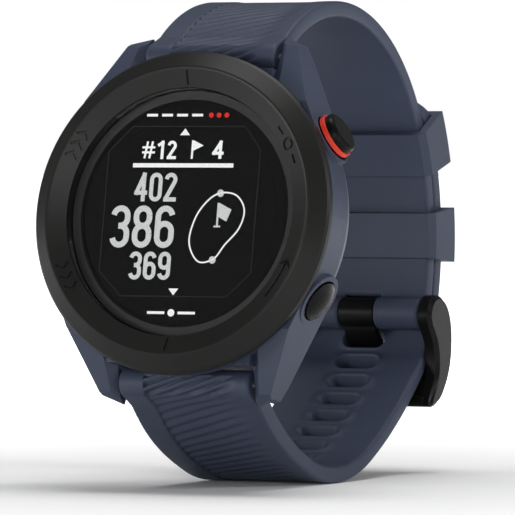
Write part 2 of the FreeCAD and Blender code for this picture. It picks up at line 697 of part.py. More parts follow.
# ---- Assembly --------------------------------------------------------------------------------------
def export_head():
    export("case_body", in_head(case_body()))
    export("bezel_ring", in_head(bezel_ring()))
    export("glass", in_head(glass()))
    gasket = ring(GLASS_R - 0.1, SHELF_IN_R + 0.2, SHELF_Z + 0.01, -GLASS_THICK - 0.01)
    export("glass_gasket", in_head(gasket))
    export("display_panel", in_head(display_module()))
    export("display_backlight", in_head(display_backlight()))
    export("inner_frame", in_head(inner_frame()))
    export("gps_antenna", in_head(ring(17.6, 15.6, FRAME_TOP + 0.02, CAVITY_TOP - 0.02)))
    export("battery", in_head(block((-10, 10), (-8.5, 8.5), (-6.6, -4.3))))
    export("mainboard", in_head(mainboard()))
    shield = block((-6.5, 6.5), (-4, 6), (-8.95, BOARD_TOP - BOARD_THICK - 0.01))
    export("shield_can", in_head(shield))
    export("flex_cable", in_head(flex_cable()))
    switches = [tactile_switch(angle) for angle, flat in BUTTONS.values()]
    export("tactile_switches", in_head(Part.makeCompound(switches)))
    export("back_cover", in_head(back_cover()))
    export("back_gasket", in_head(ring(18.75, 18.25, COVER_SEAT_Z + 0.01, COVER_SEAT_Z + 0.43)))
    screws = [back_screw(x, y) for x, y in screw_places()]
    export("back_screws", in_head(Part.makeCompound(screws)))
    export("charge_contacts", in_head(charge_contacts()))


def export_buttons():
    for name, (angle, flat) in BUTTONS.items():
        export("button_" + name, in_head(radial(button(flat), angle)))
        export("button_spring_" + name, in_head(radial(button_spring(), angle)))
        export("button_seal_" + name, in_head(radial(button_seal(), angle)))
        export("button_clip_" + name, in_head(radial(button_clip(), angle)))
        if flat:
            accent = ring(ACCENT_R, NECK_R + 0.02, *ACCENT_AT)
            export("accent_ring", in_head(radial(accent, angle)))


def export_loop():
    export("short_strap", in_loop(short_strap()))
    export("long_strap", in_loop(long_strap()))
    for word, side in (("upper", 1), ("lower", -1)):
        export(word + "_bar_tube", in_loop(on_bar(bar_tube(), side)))
        export(word + "_bar_pin", in_loop(on_bar(bar_pin(), side)))
        export(word + "_bar_spring", in_loop(on_bar(bar_spring(), side)))
    export("buckle_frame", in_loop(buckle_frame()))
    export("buckle_tang", in_loop(buckle_tang()))
    export("buckle_bar", in_loop(buckle_bar()))
    for name, angle in KEEPER_AT.items():
        export(name, in_loop(keeper(angle)))


os.makedirs("parts", exist_ok=True)
export_head()
export_buttons()
export_loop()
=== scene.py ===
import json
import math

import bmesh
import bpy
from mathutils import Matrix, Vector


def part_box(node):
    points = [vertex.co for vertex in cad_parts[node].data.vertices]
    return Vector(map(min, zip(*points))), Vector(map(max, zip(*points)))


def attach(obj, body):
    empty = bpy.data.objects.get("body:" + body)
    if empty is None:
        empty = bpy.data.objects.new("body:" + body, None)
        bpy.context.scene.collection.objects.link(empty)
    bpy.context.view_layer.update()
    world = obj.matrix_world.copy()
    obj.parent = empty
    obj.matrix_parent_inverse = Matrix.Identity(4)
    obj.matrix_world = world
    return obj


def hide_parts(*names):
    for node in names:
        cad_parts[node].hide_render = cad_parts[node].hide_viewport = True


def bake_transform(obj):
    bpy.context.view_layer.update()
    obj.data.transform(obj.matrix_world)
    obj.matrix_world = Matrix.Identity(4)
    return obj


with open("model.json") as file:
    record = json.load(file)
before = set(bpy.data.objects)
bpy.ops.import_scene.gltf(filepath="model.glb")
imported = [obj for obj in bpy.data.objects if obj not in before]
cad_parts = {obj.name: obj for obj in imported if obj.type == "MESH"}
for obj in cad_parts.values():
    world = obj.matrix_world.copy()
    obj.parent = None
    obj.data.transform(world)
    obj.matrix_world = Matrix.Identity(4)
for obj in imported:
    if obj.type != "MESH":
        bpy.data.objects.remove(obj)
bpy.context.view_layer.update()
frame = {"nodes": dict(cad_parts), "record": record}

# Golf watch: the head, buttons and buckle keep their CAD meshes and get materials. The two strap halves,
# the keepers and the display's picture are built here. Lengths are in millimetres up to in_loop() and
# in_head(), which put them in the scene in metres.
MM = 0.001
LEAN = math.radians(10.33)            # the face leans back by this angle
OUT = Vector((0, -math.cos(LEAN), math.sin(LEAN)))
UP = Vector((0, math.sin(LEAN), math.cos(LEAN)))
GLASS_THICK = 1.5

glass_low, glass_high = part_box("glass")
GLASS_CENTRE = (glass_low + glass_high) / 2 + OUT * (GLASS_THICK / 2 * MM)

# ---- Strap measures, the same as in the CAD model ---------------------------------------------------
STRAP_HALF = 9.7
STRAP_THICK = 2.2
LAYER_GAP = 0.25
KNUCKLE_R = 2.0
ARC_CENTRE = (27.3, -4.3)             # (y, z) of the round stretch at the back of the loop
ARC_R = 32.3
TAIL_R = ARC_R + STRAP_THICK + LAYER_GAP
SHORT_ARC_END = 26.7                  # degrees round ARC_CENTRE, like all the strap's angles below
SHORT_BENDS = ((29.2, 68.6), (27.6, 28.4))             # (radius, turn) of the arcs from there to the lugs
TAIL_TIP = 36.0
TAIL_TIP_R = 13.5
TAIL_JOIN = -24.9                     # where the long half leaves the round stretch
LONG_BENDS = ((8.2, -22.9), (69.0, -17.4), (23.7, -45.1), (37.7, -22.5))
BAR_Y = 22.2                          # the spring bars, in the head frame
BAR_Z = -7.2
PIVOT_ANGLE = -19.3                   # the buckle's bar
ROLL_R = 2.25
PIVOT_R = ARC_R + STRAP_THICK - ROLL_R
SLOT_START = -0.2
SLOT_PITCH = 4.05
SLOT_COUNT = 9
SLOT_HALF = 3.05
SLOT_R = 1.15
SLOT_DRAFT = 0.62                     # a slot's outer opening has a rounding this much smaller
SLOT_SQUEEZE = 0.93                   # its straight part is this share as long
SLOT_SHIFT = 0.6                      # and it lies this much nearer to the lug
TANG_SLOT_SHIFT = -0.05               # the same, for the slot that the tang goes through
WINDOW_HALF = 2.85                    # the opening round the tang, in the short half
WINDOW_TOP = 2.55
KEEPER_PLAY = 0.2
KEEPER_WALL = 1.15
KEEPER_LENGTH = 7.0
KEEPER_CUT = 0.9                      # its wrist-side corners are cut off by this much
KEEPERS = {"keeper_free": (22.0, "sliding_keeper"), "keeper_fixed": (0.5, "strap")}     # angle and body


def in_loop(x, y, z):
    """A point of the loop frame, whose origin is the glass centre with z up."""
    return GLASS_CENTRE + Vector((x, y, z)) * MM


def in_head(x, y, z):
    """A point of the head frame: y to 12 o'clock and z out of the glass."""
    return GLASS_CENTRE + (Vector((x, 0, 0)) + UP * y + OUT * z) * MM


# ---- Camera, floor and lights ----------------------------------------------------------------------
CAMERA_AZIMUTH = math.radians(25.855)
CAMERA_ELEVATION = math.radians(1.137)
CAMERA_DISTANCE = 0.8
CAMERA_LENS = 422.8
CAMERA_AIM = Vector((0.011655, 0.0, -0.00604))         # from the glass centre, in metres
LIGHTS = {                            # place in metres, size in metres, power in watts
    "top": ((0.05, 0.1, 1.1), 0.7, 8.0),
    "key": ((0.3, -0.95, 0.12), 0.3, 2.2),
    "left": ((-0.7, -0.8, 0.10), 0.3, 4.4),
    "right": ((0.9, 0.1, 0.35), 0.3, 3.4),
}
LIGHT_AIM = Vector((0, 0, 0.03))
SKY_LIGHT = 0.16                      # the white behind is this bright for everything but the camera
FLOOR_REACH = 6.0
FLOOR_DROP = 0.00005


def add_camera():
    back = Vector((math.sin(CAMERA_AZIMUTH) * math.cos(CAMERA_ELEVATION),
                   -math.cos(CAMERA_AZIMUTH) * math.cos(CAMERA_ELEVATION),
                   math.sin(CAMERA_ELEVATION)))
    data = bpy.data.cameras.new("camera")
    data.lens = CAMERA_LENS
    data.sensor_width = 36
    data.clip_end = 20
    camera = bpy.data.objects.new("camera", data)
    camera.location = GLASS_CENTRE + CAMERA_AIM + back * CAMERA_DISTANCE
    camera.rotation_euler = back.to_track_quat("Z", "Y").to_euler()
    bpy.context.scene.collection.objects.link(camera)
    bpy.context.scene.camera = camera


def add_light(name, place, size, power):
    data = bpy.data.lights.new(name, "AREA")
    data.size = size
    data.energy = power
    light = bpy.data.objects.new(name, data)
    light.location = place
    light.rotation_euler = (Vector(place) - LIGHT_AIM).to_track_quat("Z", "Y").to_euler()
    bpy.context.scene.collection.objects.link(light)


def add_world():
    """White for the camera, and a weak even light for everything else."""
    world = bpy.data.worlds.new("studio")
    world.use_nodes = True
    tree = world.node_tree
    sky = tree.nodes["Background"]
    sky.inputs["Color"].default_value = (1, 1, 1, 1)
    seen = tree.nodes.new("ShaderNodeLightPath")
    level = tree.nodes.new("ShaderNodeMapRange")
    level.inputs["To Min"].default_value = SKY_LIGHT
    level.inputs["To Max"].default_value = 1.0
    tree.links.new(seen.outputs["Is Camera Ray"], level.inputs["Value"])
    tree.links.new(level.outputs["Result"], sky.inputs["Strength"])
    bpy.context.scene.world = world


def add_floor():
    mesh = bpy.data.meshes.new("floor")
    corners = [(x * FLOOR_REACH, y * FLOOR_REACH, 0) for x, y in ((-1, -1), (1, -1), (1, 1), (-1, 1))]
    mesh.from_pydata(corners, [], [(0, 1, 2, 3)])
    floor = bpy.data.objects.new("floor", mesh)
    floor.location.z = -FLOOR_DROP
    bpy.context.scene.collection.objects.link(floor)
    mesh.materials.append(plain_floor())


def add_studio():
    bpy.context.scene.view_settings.view_transform = "Standard"
    add_world()
    for name, (place, size, power) in LIGHTS.items():
        add_light(name, place, size, power)
    add_floor()


# ---- Materials -------------------------------------------------------------------------------------
BLOTCH_SCALE = 120.0
UNEVEN_GLOSS = 0.06
GRAIN_DEPTH = 0.00003


def new_material(name, colour, roughness, metallic, specular):
    mat = bpy.data.materials.new(name)
    mat.use_nodes = True
    shader = mat.node_tree.nodes["Principled BSDF"]
    shader.inputs["Base Color"].default_value = (*colour, 1)
    shader.inputs["Roughness"].default_value = roughness
    shader.inputs["Metallic"].default_value = metallic
    shader.inputs["Specular IOR Level"].default_value = specular
    return mat, mat.node_tree, shader


def add_node(tree, kind, settings=(), links=()):
    """A node with some of its own settings and socket values, and links into its inputs."""
    node = tree.nodes.new(kind)
    for key, value in settings:
        if hasattr(node, key):
            setattr(node, key, value)
        else:
            node.inputs[key].default_value = value
    for key, socket in links:
        tree.links.new(socket, node.inputs[key])
    return node


def noise_of(tree, scale, detail=3.0):
    place = add_node(tree, "ShaderNodeTexCoord")
    return add_node(tree, "ShaderNodeTexNoise", (("Scale", scale), ("Detail", detail)),
                    (("Vector", place.outputs["Object"]),))


def spread(tree, source, low, high):
    """Maps a 0.3 to 0.7 noise value to low to high."""
    reach = (("From Min", 0.3), ("From Max", 0.7), ("To Min", low), ("To Max", high))
    return add_node(tree, "ShaderNodeMapRange", reach, (("Value", source),)).outputs["Result"]


def textured(name, colour, shade, roughness, grain, bump, metallic=0.0, specular=0.5, edge=0.12):
    """Moulded or machined stuff: blotches of two near shades, uneven gloss, fine grain and eased edges.

    shade is how far the two shades lie from the colour, grain is the scale of the fine noise, bump its
    strength, and edge the rounding of the edges in millimetres.
    """
    mat, tree, shader = new_material(name, colour, roughness, metallic, specular)
    large = noise_of(tree, BLOTCH_SCALE)
    fine = noise_of(tree, grain, 4.0)
    dark = tuple(c * (1 - shade) for c in colour)
    light = tuple(min(1.0, c * (1 + shade)) for c in colour)
    ramp = add_node(tree, "ShaderNodeMix", (("data_type", "RGBA"),))
    factor, first, second = ramp.inputs[0], ramp.inputs[6], ramp.inputs[7]
    first.default_value = (*dark, 1)
    second.default_value = (*light, 1)
    tree.links.new(spread(tree, large.outputs["Fac"], 0.0, 1.0), factor)
    tree.links.new(ramp.outputs[2], shader.inputs["Base Color"])
    gloss = spread(tree, fine.outputs["Fac"], roughness - UNEVEN_GLOSS, roughness + UNEVEN_GLOSS)
    tree.links.new(gloss, shader.inputs["Roughness"])
    eased_edges = add_node(tree, "ShaderNodeBevel", (("samples", 4), ("Radius", edge * MM)))
    relief = add_node(tree, "ShaderNodeBump", (("Strength", bump), ("Distance", GRAIN_DEPTH)),
                      (("Height", fine.outputs["Fac"]), ("Normal", eased_edges.outputs["Normal"])))
    tree.links.new(relief.outputs["Normal"], shader.inputs["Normal"])
    return mat


def plain_floor():
    """White paper whose far part glows, so that it meets the white behind it with no line."""
    mat, tree, shader = new_material("floor_white", (0.9, 0.9, 0.9), 0.6, 0.0, 0.1)
    soft = noise_of(tree, 30.0)
    tree.links.new(spread(tree, soft.outputs["Fac"], 0.58, 0.64), shader.inputs["Roughness"])
    place = add_node(tree, "ShaderNodeTexCoord")
    away = add_node(tree, "ShaderNodeVectorMath", (("operation", "LENGTH"),),
                    (("Vector", place.outputs["Object"]),))
    reach = (("From Min", 0.03), ("From Max", 0.38), ("To Min", 0.0), ("To Max", 1.2))
    glow = add_node(tree, "ShaderNodeMapRange", reach, (("Value", away.outputs["Value"]),))
    tree.links.new(glow.outputs["Result"], shader.inputs["Emission Strength"])
    shader.inputs["Emission Color"].default_value = (1, 1, 1, 1)
    return mat


def clear_glass():
    """A thin clear pane: what lies under it shows, with a weak reflection on top."""
    mat = bpy.data.materials.new("clear_glass")
    mat.use_nodes = True
    tree = mat.node_tree
    tree.nodes.remove(tree.nodes["Principled BSDF"])
    smear = noise_of(tree, 90.0)
    clear = add_node(tree, "ShaderNodeBsdfTransparent")
    gloss = add_node(tree, "ShaderNodeBsdfGlossy", (),
                     (("Roughness", spread(tree, smear.outputs["Fac"], 0.03, 0.07)),))
    fresnel = add_node(tree, "ShaderNodeFresnel", (("IOR", 1.10),))
    mix = add_node(tree, "ShaderNodeMixShader")
    tree.links.new(fresnel.outputs["Fac"], mix.inputs[0])
    tree.links.new(clear.outputs["BSDF"], mix.inputs[1])
    tree.links.new(gloss.outputs["BSDF"], mix.inputs[2])
    tree.links.new(mix.outputs["Shader"], tree.nodes["Material Output"].inputs["Surface"])
    return mat


def lit_ink(name, colour, glow):
    """Bright display segments with a faint dot pattern. Their light is all their own."""
    mat, tree, shader = new_material(name, tuple(c * 0.1 for c in colour), 0.6, 0.0, 0.1)
    place = add_node(tree, "ShaderNodeTexCoord")
    dots = add_node(tree, "ShaderNodeTexVoronoi", (("Scale", 4500.0),),
                    (("Vector", place.outputs["Object"]),))
    reach = (("From Min", 0.0), ("From Max", 0.8), ("To Min", glow), ("To Max", glow * 0.8))
    level = add_node(tree, "ShaderNodeMapRange", reach, (("Value", dots.outputs["Distance"]),))
    shader.inputs["Emission Color"].default_value = (*colour, 1)
    tree.links.new(level.outputs["Result"], shader.inputs["Emission Strength"])
    return mat


SLATE = (0.036, 0.045, 0.076)
STUFFS = {                            # colour, shade, roughness, grain, bump, metallic, specular, edge
    "case_polymer": (SLATE, 0.05, 0.42, 5200.0, 0.25, 0.0, 0.3),
    "strap_silicone": (SLATE, 0.06, 0.52, 6500.0, 0.3, 0.0, 0.25, 0.1),
    "bezel_black": ((0.0085, 0.0085, 0.008), 0.12, 0.40, 7000.0, 0.3, 0.0, 0.2, 0.08),
    "button_black": ((0.003, 0.003, 0.003), 0.15, 0.28, 5000.0, 0.15, 0.0, 0.13),
    "buckle_black": ((0.004, 0.004, 0.004), 0.15, 0.34, 4200.0, 0.3, 0.0, 0.14),
    "display_black": ((0.005, 0.005, 0.005), 0.1, 0.5, 3000.0, 0.05, 0.0, 0.05),
    "accent_red": ((0.72, 0.035, 0.012), 0.05, 0.4, 4000.0, 0.1),
    "seal_rubber": ((0.012, 0.012, 0.012), 0.2, 0.7, 5000.0, 0.4),
    "frame_plastic": ((0.03, 0.03, 0.032), 0.1, 0.5, 4000.0, 0.3),
    "back_plastic": ((0.020, 0.020, 0.021), 0.1, 0.5, 3500.0, 0.45),
    "diffuser_white": ((0.75, 0.75, 0.73), 0.03, 0.5, 3000.0, 0.05),
    "antenna_copper": ((0.75, 0.36, 0.2), 0.08, 0.3, 4000.0, 0.1, 1.0),
    "battery_foil": ((0.55, 0.56, 0.57), 0.06, 0.35, 2500.0, 0.3, 1.0),
    "board_green": ((0.01, 0.09, 0.035), 0.15, 0.4, 3000.0, 0.2),
    "shield_tin": ((0.62, 0.62, 0.6), 0.06, 0.32, 3000.0, 0.15, 1.0),
    "contact_gold": ((0.83, 0.6, 0.25), 0.06, 0.25, 4000.0, 0.1, 1.0),
    "bar_steel": ((0.6, 0.6, 0.61), 0.08, 0.28, 3500.0, 0.15, 1.0),
}
MATERIALS = {name: textured(name, *values) for name, values in STUFFS.items()}
MATERIALS["clear_glass"] = clear_glass()


def dress_frame():
    """Gives every CAD node the material of its slot."""
    slots = {}
    for entry in frame["record"]["materials"]:
        for name in entry.get("nodes", []):
            slots[name] = entry["slot"]
    for name, obj in frame["nodes"].items():
        slot = slots.get(name)
        if slot is None and obj.data.materials:
            slot = obj.data.materials[0].name.split(".")[0]
        for index in range(len(obj.data.materials)):
            obj.data.materials[index] = MATERIALS[slot]


# ---- Mesh helpers ----------------------------------------------------------------------------------
def make_piece(name, points, faces, slot, body=None, smooth=True):
    """A mesh object with its material slot. It follows the body, if one is given."""
    mesh = bpy.data.meshes.new(name)
    mesh.from_pydata([tuple(p) for p in points], [], faces)
    sheet = bmesh.new()
    sheet.from_mesh(mesh)
    bmesh.ops.remove_doubles(sheet, verts=sheet.verts, dist=1e-7)
    bmesh.ops.recalc_face_normals(sheet, faces=sheet.faces)
    sheet.to_mesh(mesh)
    sheet.free()
    if smooth:
        mesh.polygons.foreach_set("use_smooth", [True] * len(mesh.polygons))
    mesh.materials.append(MATERIALS[slot])
    obj = bpy.data.objects.new(name, mesh)
    bpy.context.scene.collection.objects.link(obj)
    if body:
        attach(obj, body)
    return obj


def round_edges(obj, width, sharper_than):
    """Rounds the edges that turn by more than the given degrees."""
    bevel = obj.modifiers.new("rounded", "BEVEL")
    bevel.width = width * MM
    bevel.segments = 3
    bevel.limit_method = "ANGLE"
    bevel.angle_limit = math.radians(sharper_than)
    normals = obj.modifiers.new("even_normals", "WEIGHTED_NORMAL")
    normals.keep_sharp = True


# ---- Strap lines -----------------------------------------------------------------------------------
def on_arc(centre, radius, angle):
    return centre[0] + radius * math.cos(angle), centre[1] + radius * math.sin(angle)


def walk(start, first_angle, bends):
    """Arcs (centre, radius, first angle, last angle) that follow each other with no corner."""
    arcs = []
    point, angle = start, math.radians(first_angle)
    for radius, sweep in bends:
        centre = on_arc(point, -radius, angle)
        last = angle + math.radians(sweep)
        arcs.append((centre, radius, angle, last))
        point, angle = on_arc(centre, radius, last), last
    return arcs


def short_arcs():
    """The short half's inner line, from the buckle's bar to the upper lugs."""
    first, last = math.radians(PIVOT_ANGLE), math.radians(SHORT_ARC_END)
    end = on_arc(ARC_CENTRE, ARC_R, last)
    return [(ARC_CENTRE, ARC_R, first, last)] + walk(end, SHORT_ARC_END, SHORT_BENDS)


def long_arcs():
    """The long half's inner line, from its tail to the lower lugs."""
    first, last = math.radians(TAIL_TIP), math.radians(TAIL_JOIN)
    end = on_arc(ARC_CENTRE, TAIL_R, last)
    return [(ARC_CENTRE, TAIL_R, first, last)] + walk(end, TAIL_JOIN, LONG_BENDS)


def bar_centre(side):
    """Middle of the upper (side 1) or lower (side -1) spring bar, in the loop frame."""
    y, z = side * BAR_Y, BAR_Z
    return y * math.sin(LEAN) - z * math.cos(LEAN), y * math.cos(LEAN) + z * math.sin(LEAN)


class Station:
    """One cut across the strap: its wrist-side and outer points with their normals, and its place.

    place is the distance from the lug end of the band, negative on the neck and the knuckle.
    """

    def __init__(self, inner, inner_normal, outer, outer_normal, place):
        self.inner = inner
        self.inner_normal = inner_normal
        self.outer = outer
        self.outer_normal = outer_normal
        self.place = place


def direction(angle):
    return math.cos(angle), math.sin(angle)


def arc_station(arc, angle, place):
    normal = direction(angle)
    inner = on_arc(arc[0], arc[1], angle)
    outer = on_arc(arc[0], arc[1] + STRAP_THICK, angle)
    return Station(inner, (-normal[0], -normal[1]), outer, normal, place)


def round_station(centre, radius, inner_angle, outer_angle, place):
    """A station whose two points lie on one circle."""
    return Station(on_arc(centre, radius, inner_angle), direction(inner_angle),
                   on_arc(centre, radius, outer_angle), direction(outer_angle), place)


def band_stations(arcs, places):
    """Stations at the given distances from the lug end of the chain of arcs."""
    found = []
    for place in places:
        rest = place
        for arc in reversed(arcs):
            length = arc_length(arc)
            if rest <= length or arc is arcs[0]:
                break
            rest -= length
        found.append(arc_station(arc, arc[3] + (arc[2] - arc[3]) * rest / length, place))
    return found


def arc_length(arc):
    return arc[1] * abs(arc[3] - arc[2])


def chain_length(arcs):
    return sum(arc_length(arc) for arc in arcs)


def touch_angle(outside, centre, radius, turn):
    """Where a line from the outside point touches the circle, on the side that turn gives."""
    dy, dz = outside[0] - centre[0], outside[1] - centre[1]
    return math.atan2(dz, dy) + turn * math.acos(radius / math.hypot(dy, dz))


def lerp(a, b, t):
    return a[0] + (b[0] - a[0]) * t, a[1] + (b[1] - a[1]) * t


def unit(a):
    size = math.hypot(*a)
    return a[0] / size, a[1] / size


def wrap(angle, reference):
    """The same angle within half a turn of the reference."""
    return reference + (angle - reference + math.pi) % (2 * math.pi) - math.pi


NECK_STEP = 0.2
KNUCKLE_STEPS = 18
KNUCKLE_CLOSED = 0.985                # the two sheets go this share of the way round the bar to each other
ROLL_STEPS = 13
ROLL_OPEN = 0.015
ROLL_FILLET = 0.35
ROLL_WRAP = math.radians(80)          # the roll's wrist side turns this far before its fillet


def knuckle_stations(end, side):
    """From the band's lug end along the neck and round the knuckle, with places below zero.

    The second result is the place where the neck meets the knuckle.
    """
    centre = bar_centre(side)
    middle = lerp(end.inner, end.outer, 0.5)
    away = math.atan2(centre[1] - middle[1], centre[0] - middle[0])
    outer_touch = wrap(touch_angle(end.outer, centre, KNUCKLE_R, side), away)
    inner_touch = wrap(touch_angle(end.inner, centre, KNUCKLE_R, -side), away)
    outer_end = on_arc(centre, KNUCKLE_R, outer_touch)
    inner_end = on_arc(centre, KNUCKLE_R, inner_touch)
    neck = math.dist(end.outer, outer_end)
    found = []
    steps = max(3, int(neck / NECK_STEP))
    for index in range(1, steps + 1):
        t = index / steps
        outer_normal = unit(lerp(end.outer_normal, direction(outer_touch), t))
        inner_normal = unit(lerp(end.inner_normal, direction(inner_touch), t))
        found.append(Station(lerp(end.inner, inner_end, t), inner_normal, lerp(end.outer, outer_end, t),
                             outer_normal, -neck * t))
    for index in range(1, KNUCKLE_STEPS + 1):
        t = index / KNUCKLE_STEPS * KNUCKLE_CLOSED
        outer_angle = outer_touch + (away - outer_touch) * t
        inner_angle = inner_touch + (away - inner_touch) * t
        place = -neck - abs(outer_angle - outer_touch) * KNUCKLE_R
        found.append(round_station(centre, KNUCKLE_R, inner_angle, outer_angle, place))
    return found, -neck


def roll_stations(first_place):
    """Round the roll that holds the buckle's bar, from its end to the band above it.

    Their places only keep the order, past the band's own.
    """
    pivot_angle = math.radians(PIVOT_ANGLE)
    centre = on_arc(ARC_CENTRE, PIVOT_R, pivot_angle)
    found = []
    low = pivot_angle - math.pi / 2
    for index in range(ROLL_STEPS + 1):
        t = ROLL_OPEN + (1 - ROLL_OPEN) * index / ROLL_STEPS
        outer_angle = low + t * math.pi / 2
        inner_angle = low - t * math.pi / 2
        found.append(round_station(centre, ROLL_R, inner_angle, outer_angle, first_place + 8 - t))
    arc = (ARC_CENTRE, ARC_R, pivot_angle, 0)
    inner_at = pivot_angle - math.pi
    steps = 12
    for index in range(1, steps + 1):
        t = index / steps
        angle = inner_at - ROLL_WRAP * t
        rise = ROLL_R * math.sin(ROLL_WRAP * t)
        station = arc_station(arc, pivot_angle + rise / ARC_R, first_place + 6 - t)
        station.inner = on_arc(centre, ROLL_R, angle)
        station.inner_normal = direction(angle)
        found.append(station)
    height = ROLL_R + ROLL_FILLET
    rolled = ROLL_R * math.sin(ROLL_WRAP)
    start = on_arc(centre, ROLL_R, inner_at - ROLL_WRAP)
    corner = on_arc(ARC_CENTRE, ARC_R, pivot_angle + ROLL_R / ARC_R)
    target = on_arc(ARC_CENTRE, ARC_R, pivot_angle + height / ARC_R)
    steps = 3
    for index in range(1, steps + 1):
        t = index / steps
        rise = rolled * (1 - t) + height * t
        station = arc_station(arc, pivot_angle + rise / ARC_R, first_place + 4 - t)
        station.inner = lerp(lerp(start, corner, t), lerp(corner, target, t), t)
        found.append(station)
    return found


# ---- Strap surface ---------------------------------------------------------------------------------
EDGE_R = 0.45
EDGE_LINES = (0.0, 0.03, 0.09, 0.17, 0.28, 0.45)       # from the strap's edge, where the mesh has its lines
EDGE_CLEAR = 0.6                      # the evenly spaced lines keep this far from the edges
LINE_COUNT = 46
LEAST_GAP = 0.02
FIELD_LEFT = -5.9                     # the sunk field of ribs runs from here
FIELD_FADE = 5.0                      # and comes up to the surface between here
FIELD_RIGHT = 8.1                     # and here
FIELD_STEP = (-0.12, -0.05, 0.0, 0.05, 0.12)
FIELD_DEPTH = 0.38
RIB_HEIGHT = 0.7                      # share of the field's depth
RIB_PITCH = 1.58
RIB_FLATNESS = 0.6                    # below 1 the ribs are flat with narrow grooves
RIB_SLOPE_LONG = 0.385
RIB_SLOPE_SHORT = -0.46
RIB_END_LONG = 24.0
RIB_END_SHORT = 30.0
RIB_FADE = 3.0
SCALLOP_DEPTH = 0.75
SCALLOP_PITCH = 3.1
SCALLOP_SLOPE = 2.2
NECK_RISE = 0.7                       # the long half's front stands this much higher under the lugs
NECK_RISE_PLACES = (-3.2, 0.4, 15.0)  # where it starts, is full, and ends
FINE_STEP = 0.16                      # steps between stations: where there are ribs, at a slot, elsewhere
SLOT_STEP = 0.37
PLAIN_STEP = 0.6
SHORT_PLAIN_STEP = 0.7
SLOT_REACH = 1.85                     # half sizes of the cell of the mesh that holds a slot
SLOT_REACH_X = 4.6
SLOT_EDGE_R = 0.22
SLOT_RINGS = (0.58, 0.46, 0.34, 0.24, 0.15, 0.08, 0.03, 0.0)   # lines of the mesh round a slot


def smooth_step(value, low, high):
    t = min(1.0, max(0.0, (value - low) / (high - low)))
    return t * t * (3 - 2 * t)


def eased(distance, radius):
    """How far a surface drops beside an edge rounded to this radius."""
    if distance >= radius:
        return 0.0
    return radius - math.sqrt(max(0.0, radius ** 2 - (radius - distance) ** 2))


def rib_height(x, place, slope, knuckle_place, rib_end):
    """Height of the outer surface near the lug: slanting ribs in a sunk field, and scallops on the knuckle."""
    inside = smooth_step(x, FIELD_LEFT - 0.1, FIELD_LEFT + 0.12) * (1 - smooth_step(x, FIELD_FADE, FIELD_RIGHT))
    inside *= 1 - smooth_step(place, rib_end - RIB_FADE, rib_end)
    wave = ((place + slope * x) / RIB_PITCH) % 1.0
    ridge = (0.5 - 0.5 * math.cos(2 * math.pi * wave)) ** RIB_FLATNESS
    height = -FIELD_DEPTH * inside * (1 - RIB_HEIGHT * ridge)
    if place < knuckle_place:
        share = smooth_step(knuckle_place - place, 0.0, 0.3)
        slant = (place - knuckle_place) * SCALLOP_SLOPE * math.copysign(1, slope)
        notch = ((x + slant) / SCALLOP_PITCH) % 1.0
        cut = smooth_step(notch, 0.15, 0.95) * (1 - smooth_step(notch, 0.95, 1.0))
        height = height * (1 - share) - SCALLOP_DEPTH * inside * cut * share
    return height


def cross_lines(extra):
    """Places across the strap where the mesh has its lines: close at the edges and the field's step."""
    lines = {0.0}
    for value in EDGE_LINES:
        lines.update((STRAP_HALF - value, value - STRAP_HALF))
    span = STRAP_HALF - EDGE_CLEAR
    lines.update(-span + 2 * span * index / LINE_COUNT for index in range(LINE_COUNT + 1))
    lines.update(FIELD_LEFT + step for step in FIELD_STEP)
    lines.update(extra)
    ordered = sorted(lines)
    kept = [ordered[0]]
    for value in ordered[1:]:
        if value - kept[-1] > LEAST_GAP:
            kept.append(value)
        elif value in extra:
            kept[-1] = value
    kept[-1] = STRAP_HALF
    return kept


class StrapMesh:
    """Points and faces of a strap half: an outer and an inner sheet over the same stations and lines."""

    def __init__(self, stations, lines, relief, half_at):
        self.stations = stations
        self.lines = lines
        self.relief = relief
        self.half_at = half_at
        self.points = []
        self.faces = []
        self.grid = [[[self.add_point(self.locate(layer, x, station)) for x in lines] for station in stations]
                     for layer in (0, 1)]

    def locate(self, layer, x, station, lift=0.0):
        """The point of the outer (layer 0) or inner (layer 1) sheet at x, raised by lift."""
        half = self.half_at(station.place)
        wide = x / STRAP_HALF * half
        height = lift - eased(half - abs(wide), EDGE_R)
        if layer == 0:
            height += self.relief(wide, station.place)
            base, normal = station.outer, station.outer_normal
        else:
            base, normal = station.inner, station.inner_normal
        return in_loop(wide, base[0] + normal[0] * height, base[1] + normal[1] * height)

    def add_point(self, point):
        self.points.append(point)
        return len(self.points) - 1

    def add_wall(self, first, second):
        """A face between the sheets, over the edge from one (row, column) to another."""
        outer, inner = self.grid
        self.faces.append((outer[first[0]][first[1]], outer[second[0]][second[1]],
                           inner[second[0]][second[1]], inner[first[0]][first[1]]))

    def skin(self, skip, open_columns=()):
        """Faces of both sheets but for the skipped cells, and the walls along the rim.

        The last row's wall has a gap at the open columns.
        """
        columns, rows = len(self.lines) - 1, len(self.stations) - 1
        for grid in self.grid:
            for row in range(rows):
                for column in range(columns):
                    if (row, column) not in skip:
                        self.faces.append((grid[row][column], grid[row][column + 1], grid[row + 1][column + 1],
                                           grid[row + 1][column]))
        for row in range(rows):
            for column in (0, columns):
                self.add_wall((row, column), (row + 1, column))
        for row in (0, rows):
            for column in range(columns):
                if row == 0 or column not in open_columns:
                    self.add_wall((row, column), (row, column + 1))


def spaced(low, high, step):
    """Even steps from low to just before high."""
    count = max(1, round((high - low) / step))
    return [low + (high - low) * index / count for index in range(count)]


def full_width(place):
    return STRAP_HALF


